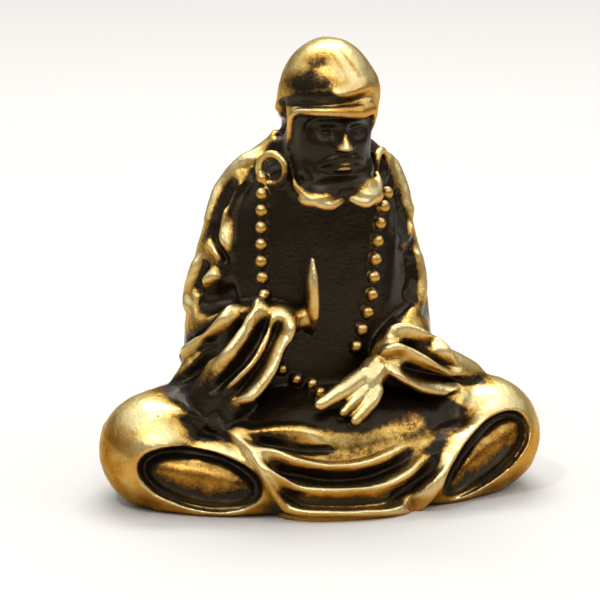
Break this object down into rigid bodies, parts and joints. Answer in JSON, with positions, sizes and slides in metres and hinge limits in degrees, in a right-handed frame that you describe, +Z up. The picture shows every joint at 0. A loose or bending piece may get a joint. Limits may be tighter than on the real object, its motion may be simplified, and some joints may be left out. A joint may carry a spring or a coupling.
{
  "type": "seated hooded monk figurine",
  "caption": "Small solid-cast brass figurine of a hooded, bearded monk seated cross-legged, one hand raised and a bead string in the other, with a flat underside to stand on.",
  "frame": {"origin": "centre of the figure's footprint box, on the flat underside that meets the table", "axes": "+Z up through the head, -Y the way the figure faces, +X towards the figure's own left hand"},
  "size_m": [0.0332, 0.0214, 0.0339],
  "materials": {
    "brass": "cast brass, polished on the high places, with a glossy brown-black patina in the folds"
  },
  "bodies": {
    "root": {"figure": "brass"}
  },
  "joints": []
}
